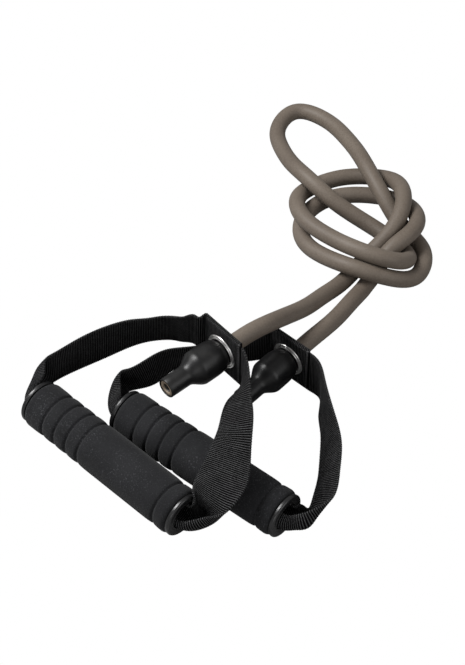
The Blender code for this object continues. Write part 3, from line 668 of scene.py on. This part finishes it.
def fine_marks_group():
    """Fine marks that several finishes share: a noise, a roughness that follows it, and its relief."""
    group = bpy.data.node_groups.new("fine_marks", "ShaderNodeTree")
    group.interface.new_socket(name="Place", in_out="INPUT", socket_type="NodeSocketVector")
    for name in ("Scale", "Detail", "Breakup", "Smooth", "Dull", "Relief", "Depth"):
        group.interface.new_socket(name=name, in_out="INPUT", socket_type="NodeSocketFloat")
    group.interface.new_socket(name="Marks", in_out="OUTPUT", socket_type="NodeSocketFloat")
    group.interface.new_socket(name="Roughness", in_out="OUTPUT", socket_type="NodeSocketFloat")
    group.interface.new_socket(name="Normal", in_out="OUTPUT", socket_type="NodeSocketVector")
    given = group.nodes.new("NodeGroupInput").outputs
    result = group.nodes.new("NodeGroupOutput").inputs
    noise = group.nodes.new("ShaderNodeTexNoise")
    spread = group.nodes.new("ShaderNodeMapRange")
    spread.inputs["From Min"].default_value = 0.3
    spread.inputs["From Max"].default_value = 0.7
    bump = group.nodes.new("ShaderNodeBump")
    for source, target in ((given["Place"], noise.inputs["Vector"]),
                           (given["Scale"], noise.inputs["Scale"]),
                           (given["Detail"], noise.inputs["Detail"]),
                           (given["Breakup"], noise.inputs["Roughness"]),
                           (noise.outputs["Fac"], spread.inputs["Value"]),
                           (given["Smooth"], spread.inputs["To Min"]),
                           (given["Dull"], spread.inputs["To Max"]),
                           (noise.outputs["Fac"], bump.inputs["Height"]),
                           (given["Relief"], bump.inputs["Strength"]),
                           (given["Depth"], bump.inputs["Distance"]),
                           (noise.outputs["Fac"], result["Marks"]),
                           (spread.outputs["Result"], result["Roughness"]),
                           (bump.outputs["Normal"], result["Normal"])):
        group.links.new(source, target)
    return group


FINE_MARKS = fine_marks_group()


class Shader:
    """Short hand for building one material's nodes."""

    def __init__(self, name, rough=0.5, metal=0.0):
        self.mat = bpy.data.materials.new(name)
        self.mat.use_nodes = True
        self.tree = self.mat.node_tree
        self.main = self.tree.nodes["Principled BSDF"]
        self.main.inputs["Roughness"].default_value = rough
        self.main.inputs["Metallic"].default_value = metal

    def node(self, kind, **settings):
        """A new node with its settings."""
        made = self.tree.nodes.new(kind)
        for key, value in settings.items():
            setattr(made, key, value)
        return made

    def link(self, a, b):
        """Joins an output to an input."""
        self.tree.links.new(a, b)

    def math(self, operation, a, b=None):
        """One math node; each input is a number or a socket."""
        made = self.node("ShaderNodeMath", operation=operation)
        for place, value in enumerate((a, b)):
            if value is None:
                continue
            if isinstance(value, (int, float)):
                made.inputs[place].default_value = value
            else:
                self.link(value, made.inputs[place])
        return made.outputs[0]

    def place(self):
        """The piece's own coordinates."""
        return self.node("ShaderNodeTexCoord").outputs["Object"]

    def noise(self, scale, detail=2.0, rough=0.5):
        """Noise on the piece's own coordinates."""
        made = self.node("ShaderNodeTexNoise")
        made.inputs["Scale"].default_value = scale
        made.inputs["Detail"].default_value = detail
        made.inputs["Roughness"].default_value = rough
        self.link(self.place(), made.inputs["Vector"])
        return made.outputs["Fac"]

    def marks(self, scale, detail, breakup, smooth=0.0, dull=1.0, relief=0.0, depth=0.0001):
        """The shared fine marks with this finish's own values."""
        made = self.node("ShaderNodeGroup", node_tree=FINE_MARKS)
        self.link(self.place(), made.inputs["Place"])
        for key, value in (("Scale", scale), ("Detail", detail), ("Breakup", breakup), ("Smooth", smooth),
                           ("Dull", dull), ("Relief", relief), ("Depth", depth)):
            made.inputs[key].default_value = value
        return made.outputs

    def cells(self, scale):
        """Distance from the middles of irregular cells."""
        made = self.node("ShaderNodeTexVoronoi")
        made.inputs["Scale"].default_value = scale
        self.link(self.place(), made.inputs["Vector"])
        return made.outputs["Distance"]

    def ramp(self, value, low, high, dark, light):
        """Maps a value between two places to two numbers."""
        made = self.node("ShaderNodeMapRange")
        for key, number in (("From Min", low), ("From Max", high), ("To Min", dark), ("To Max", light)):
            made.inputs[key].default_value = number
        self.link(value, made.inputs["Value"])
        return made.outputs["Result"]

    def mix(self, amount, a, b):
        """Blend of two colours."""
        made = self.node("ShaderNodeMix", data_type="RGBA")
        self.link(amount, made.inputs[0])
        made.inputs[6].default_value = (*a, 1.0)
        made.inputs[7].default_value = (*b, 1.0)
        return made.outputs[2]

    def bump(self, height, strength, distance):
        """Relief from a height, on the whole finish."""
        made = self.node("ShaderNodeBump")
        made.inputs["Strength"].default_value = strength
        made.inputs["Distance"].default_value = distance
        self.link(height, made.inputs["Height"])
        self.link(made.outputs["Normal"], self.main.inputs["Normal"])


def foam_finish():
    """Fine closed-cell foam: charcoal with pale specks and small pits."""
    s = Shader("foam_fine", 0.88)
    cells = s.cells(1500.0)
    specks = s.ramp(s.noise(1050.0, 2.0, 0.75), 0.57, 0.68, 0.0, 1.0)
    broad = s.ramp(s.noise(45.0, 3.0), 0.3, 0.7, 0.0, 0.14)
    worn = s.ramp(s.noise(28.0, 2.0), 0.45, 0.65, 0.35, 1.0)
    tone = s.math("MAXIMUM", s.math("MULTIPLY", specks, worn), broad)
    s.link(s.mix(tone, (0.0068, 0.0070, 0.0080), (0.060, 0.061, 0.066)), s.main.inputs["Base Color"])
    s.main.inputs["Sheen Weight"].default_value = 0.06
    s.main.inputs["Sheen Roughness"].default_value = 0.5
    s.main.inputs["Specular IOR Level"].default_value = 0.22
    s.bump(s.math("ADD", cells, s.noise(2300.0, 2.0, 0.6)), 0.55, 0.00018)
    return s.mat


def webbing_finish():
    """Woven webbing, as cosines of the map: cross ribs, and cells offset in neighbouring ribs. Besides
    the weave's pattern, the rib crests are painted lighter as painted highlights and the valleys darker
    as painted shade.

    The selvedge is plainer, and a stitched seam and a fold, darkened with painted shade in its crease,
    cross the band beside the panel.
    """
    s = Shader("webbing_weave")
    split = s.node("ShaderNodeSeparateXYZ")
    s.link(s.node("ShaderNodeUVMap", uv_map="UVMap").outputs["UV"], split.inputs[0])
    across, along = split.outputs[0], split.outputs[1]
    ribs = s.math("DIVIDE", along, RIB_PITCH)
    row = s.math("FLOOR", s.math("ADD", ribs, 0.5))
    offset = s.math("MULTIPLY", s.math("MODULO", row, 2.0), 0.5)
    column = s.math("ADD", s.math("DIVIDE", across, CELL_PITCH), offset)
    ridge = s.math("COSINE", s.math("MULTIPLY", ribs, 2 * math.pi))
    cell = s.math("COSINE", s.math("MULTIPLY", column, 2 * math.pi))
    height = s.math("ADD", s.math("MULTIPLY", ridge, 0.74), s.math("MULTIPLY", cell, 0.26))
    hem = s.math("ABSOLUTE", s.math("SUBTRACT", s.math("DIVIDE", across, WEB_WIDTH), 0.5))
    hem = s.ramp(hem, 0.462, 0.470, 0.0, 1.0)
    fuzz = s.noise(2200.0, 3.0, 0.6)
    broad = s.noise(130.0, 2.0)
    # Weave pattern plus painted light: rib crests painted light as painted highlights, valleys painted
    # dark as painted shade
    tone = s.math("POWER", s.ramp(height, -1.0, 1.0, 0.0, 1.0), 5.0)
    tone = s.math("MULTIPLY", tone, s.ramp(fuzz, 0.3, 0.7, 0.25, 1.75))
    tone = s.math("MULTIPLY", tone, s.ramp(broad, 0.3, 0.7, 0.8, 1.2))
    tone = s.math("ADD", tone, s.math("MULTIPLY", hem, 0.03))
    seam = s.math("ABSOLUTE", s.math("SUBTRACT", along, SEAM_AT))
    near = s.ramp(seam, 0.0004, 0.0008, 1.0, 0.0)
    dash = s.math("COSINE", s.math("MULTIPLY", across, 2 * math.pi / STITCH_PITCH))
    thread = s.math("MULTIPLY", near, s.ramp(dash, -0.3, 0.1, 0.0, 1.0))
    tone = s.math("MAXIMUM", tone, s.math("MULTIPLY", thread, 0.6))
    fold_groove_and_shade = s.math("ABSOLUTE", s.math("SUBTRACT", along, SEAM_AT + FOLD_FROM_SEAM))
    fold_groove_and_shade = s.ramp(fold_groove_and_shade, 0.0005, 0.0009, 1.0, 0.0)
    # Painted shade: the band's colour is darkened along the fold's crease; below, the same mask also
    # sinks the crease as relief
    tone = s.math("MULTIPLY", tone, s.math("SUBTRACT", 1.0, fold_groove_and_shade))
    s.link(s.mix(tone, (0.0003, 0.0003, 0.0004), (0.128, 0.128, 0.131)), s.main.inputs["Base Color"])
    s.link(s.ramp(height, -1.0, 1.0, 0.95, 0.7), s.main.inputs["Roughness"])
    s.main.inputs["Specular IOR Level"].default_value = 0.05
    relief = s.math("ADD", height, s.math("MULTIPLY", fuzz, 0.5))
    relief = s.math("ADD", relief, s.math("MULTIPLY", thread, 1.6))
    relief = s.math("SUBTRACT", relief, s.math("MULTIPLY", fold_groove_and_shade, 3.0))
    s.bump(relief, 0.9, 0.00018)
    return s.mat


def tube_finish():
    """Matt latex: taupe with a faint mottle and fine marks."""
    s = Shader("latex_matt")
    broad = s.noise(22.0, 3.0, 0.55)
    fine = s.marks(900.0, 3.0, 0.7, 0.50, 0.62, 0.45, 0.00012)
    tone = s.math("ADD", s.math("MULTIPLY", broad, 0.5), s.math("MULTIPLY", fine["Marks"], 0.5))
    tone = s.ramp(tone, 0.36, 0.64, 0.0, 1.0)
    s.link(s.mix(tone, (0.106, 0.084, 0.066), (0.166, 0.137, 0.110)), s.main.inputs["Base Color"])
    s.link(fine["Roughness"], s.main.inputs["Roughness"])
    s.link(fine["Normal"], s.main.inputs["Normal"])
    s.main.inputs["Specular IOR Level"].default_value = 0.35
    s.main.inputs["Sheen Weight"].default_value = 0.02
    s.main.inputs["Sheen Roughness"].default_value = 0.5
    return s.mat


def rubber_finish():
    """Satin black sleeve with faint scuffs."""
    s = Shader("sleeve_satin")
    scuff = s.marks(90.0, 4.0, 0.6, 0.31, 0.47)
    fine = s.noise(900.0, 2.0)
    worn = s.ramp(scuff["Marks"], 0.45, 0.75, 0.0, 1.0)
    s.link(s.mix(worn, (0.0055, 0.0055, 0.006), (0.0125, 0.012, 0.0115)), s.main.inputs["Base Color"])
    s.link(scuff["Roughness"], s.main.inputs["Roughness"])
    s.main.inputs["Specular IOR Level"].default_value = 0.36
    s.bump(s.math("ADD", fine, scuff["Marks"]), 0.12, 0.00015)
    return s.mat


def gloss_finish():
    """Moulded gloss plastic ring with a faint ripple and fine scratches."""
    s = Shader("ring_gloss")
    scratches = s.marks(500.0, 3.0, 0.6, 0.26, 0.40)
    ripple = s.marks(140.0, 2.0, 0.5, relief=0.08, depth=0.0002)
    s.main.inputs["Base Color"].default_value = (0.0095, 0.0095, 0.010, 1.0)
    s.link(scratches["Roughness"], s.main.inputs["Roughness"])
    s.link(ripple["Normal"], s.main.inputs["Normal"])
    s.main.inputs["Coat Weight"].default_value = 0.15
    s.main.inputs["Coat Roughness"].default_value = 0.25
    return s.mat


def metal_finish(name, color, rough):
    """Plating with hair-fine marks."""
    s = Shader(name, metal=1.0)
    hairs = s.marks(1400.0, 3.0, 0.7, rough * 0.75, rough * 1.4, 0.06, 0.0001)
    s.main.inputs["Base Color"].default_value = (*color, 1.0)
    s.link(hairs["Roughness"], s.main.inputs["Roughness"])
    s.link(hairs["Normal"], s.main.inputs["Normal"])
    return s.mat


def inner_finish():
    """Cut latex seen inside the sleeve: a paler, warmer brown, with painted shade that darkens it down
    the bore.
    """
    s = Shader("latex_cut", 0.5)
    grain = s.marks(700.0, 3.0, 0.6, relief=0.2, depth=0.0001)
    split = s.node("ShaderNodeSeparateXYZ")
    s.link(s.node("ShaderNodeUVMap", uv_map="UVMap").outputs["UV"], split.inputs[0])
    face = STOPPER_END - CAP_RECESS
    # Painted shade: the colour darkens from the cut face down into the bore
    depth = s.ramp(split.outputs[1], face - 0.0013, face - 0.0003, 0.03, 1.0)
    tone = s.math("MULTIPLY", s.ramp(grain["Marks"], 0.3, 0.7, 0.75, 1.0), depth)
    s.link(s.mix(tone, (0.004, 0.003, 0.0025), (0.29, 0.23, 0.17)), s.main.inputs["Base Color"])
    s.link(grain["Normal"], s.main.inputs["Normal"])
    return s.mat


def settle(made, body, finish, slot, *nodes):
    """Gives a piece its finish, the nodes it stands for and the body it moves with."""
    made.data.materials.append(finish)
    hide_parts(*nodes)
    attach(made, body)


# Camera
back_to_camera = Vector((0.0, -math.cos(CAMERA_TILT), math.sin(CAMERA_TILT)))
camera = add_object("camera", bpy.data.cameras.new("camera"))
camera.data.sensor_fit = "AUTO"
camera.data.sensor_width = SENSOR_WIDTH_MM
camera.data.lens = SENSOR_WIDTH_MM * FOCAL_PIXELS / PICTURE_HEIGHT_PIXELS
camera.data.clip_start = 0.01
camera.data.clip_end = 20.0
camera.location = back_to_camera * CAMERA_AWAY - Vector(MIDDLE)
camera.rotation_mode = "QUATERNION"
camera.rotation_quaternion = (-back_to_camera).to_track_quat("-Z", "Y")
bpy.context.scene.camera = camera

# Tube
latex = tube_finish()
cord, cord_start, cord_length = tube()
settle(cord, "straps_and_tube", latex, "tube", "latex_tube")

# Handles
foam_look, web_look = foam_finish(), webbing_finish()
ring_look, sleeve_look = gloss_finish(), rubber_finish()
eyelet_look = metal_finish("eyelet_plate", (0.90, 0.89, 0.87), 0.3)
washer_look = metal_finish("washer_plate", (0.62, 0.61, 0.60), 0.3)
cut_look = inner_finish()
for side, left_edges, right_edges in ((FRONT, FRONT_LEFT_ARM, FRONT_RIGHT_ARM),
                                      (REAR, REAR_LEFT_ARM, REAR_RIGHT_ARM)):
    label = side["label"]
    band, band_length = webbing(side, left_edges, right_edges)
    settle(band, "straps_and_tube", web_look, "webbing", "strap_" + label)
    grip = foam(side)
    settle(grip, "grip_" + label, foam_look, "foam", "foam_grip_" + label)
    for word in ("left", "right"):
        settle(ring(side, word), "grip_" + label, ring_look, "end_ring", "end_ring_" + word + "_" + label)
    metal, washer = eyelet(side)
    settle(metal, "straps_and_tube", eyelet_look, "eyelet", "eyelet_" + label)
    settle(washer, "straps_and_tube", washer_look, "eyelet_washer", "eyelet_washer_" + label)
    sleeve, end = stopper(side)
    settle(sleeve, "stopper_" + label, sleeve_look, "sleeve", "end_sleeve_" + label)
    settle(end, "stopper_" + label, cut_look, "tube_end", "tube_end_" + label)


def white_to_camera(tree, usual, seen, target):
    """Shows one shader to the camera and the usual one to everything else."""
    path = tree.nodes.new("ShaderNodeLightPath")
    blend = tree.nodes.new("ShaderNodeMixShader")
    tree.links.new(path.outputs["Is Camera Ray"], blend.inputs[0])
    tree.links.new(usual.outputs[0], blend.inputs[1])
    tree.links.new(seen.outputs[0], blend.inputs[2])
    tree.links.new(blend.outputs[0], target)


def lamp(name, place, aim, size, power):
    """A soft rectangular area light that the camera doesn't see."""
    data = bpy.data.lights.new(name, "AREA")
    data.shape = "RECTANGLE"
    data.size, data.size_y = size
    data.energy = power
    made = add_object(name, data)
    made.location = place
    made.rotation_mode = "QUATERNION"
    made.rotation_quaternion = (Vector(aim) - Vector(place)).to_track_quat("-Z", "Y")
    made.visible_camera = False


# Floor
bpy.ops.mesh.primitive_plane_add(size=8.0, location=(0.0, 0.0, 0.0))
floor = bpy.context.object
floor.name = "floor"
paint = bpy.data.materials.new("floor_white")
paint.use_nodes = True
tree = paint.node_tree
shade = tree.nodes["Principled BSDF"]
shade.inputs["Base Color"].default_value = (0.30, 0.30, 0.30, 1.0)
shade.inputs["Roughness"].default_value = 0.9
shade.inputs["Specular IOR Level"].default_value = 0.1
glow = tree.nodes.new("ShaderNodeEmission")
glow.inputs["Strength"].default_value = 1.0
white_to_camera(tree, shade, glow, tree.nodes["Material Output"].inputs["Surface"])
floor.data.materials.append(paint)

# Lights
lamp("key_light", (-0.75, 0.35, 1.15), (0.0, 0.05, 0.02), (0.6, 0.6), 23.0)
lamp("fill_light", (0.95, -0.55, 0.75), (0.02, 0.0, 0.02), (0.9, 0.9), 4.5)
lamp("front_light", (-0.35, -1.15, 0.55), (0.0, -0.05, 0.02), (0.9, 0.5), 2.5)

# Surroundings
world = bpy.data.worlds.new("studio")
bpy.context.scene.world = world
world.use_nodes = True
tree = world.node_tree
soft = tree.nodes["Background"]
soft.inputs["Color"].default_value = (1.0, 1.0, 1.0, 1.0)
soft.inputs["Strength"].default_value = 0.30
white = tree.nodes.new("ShaderNodeBackground")
white.inputs["Color"].default_value = (1.0, 1.0, 1.0, 1.0)
white_to_camera(tree, soft, white, tree.nodes["World Output"].inputs["Surface"])
bpy.context.scene.view_settings.view_transform = "Standard"
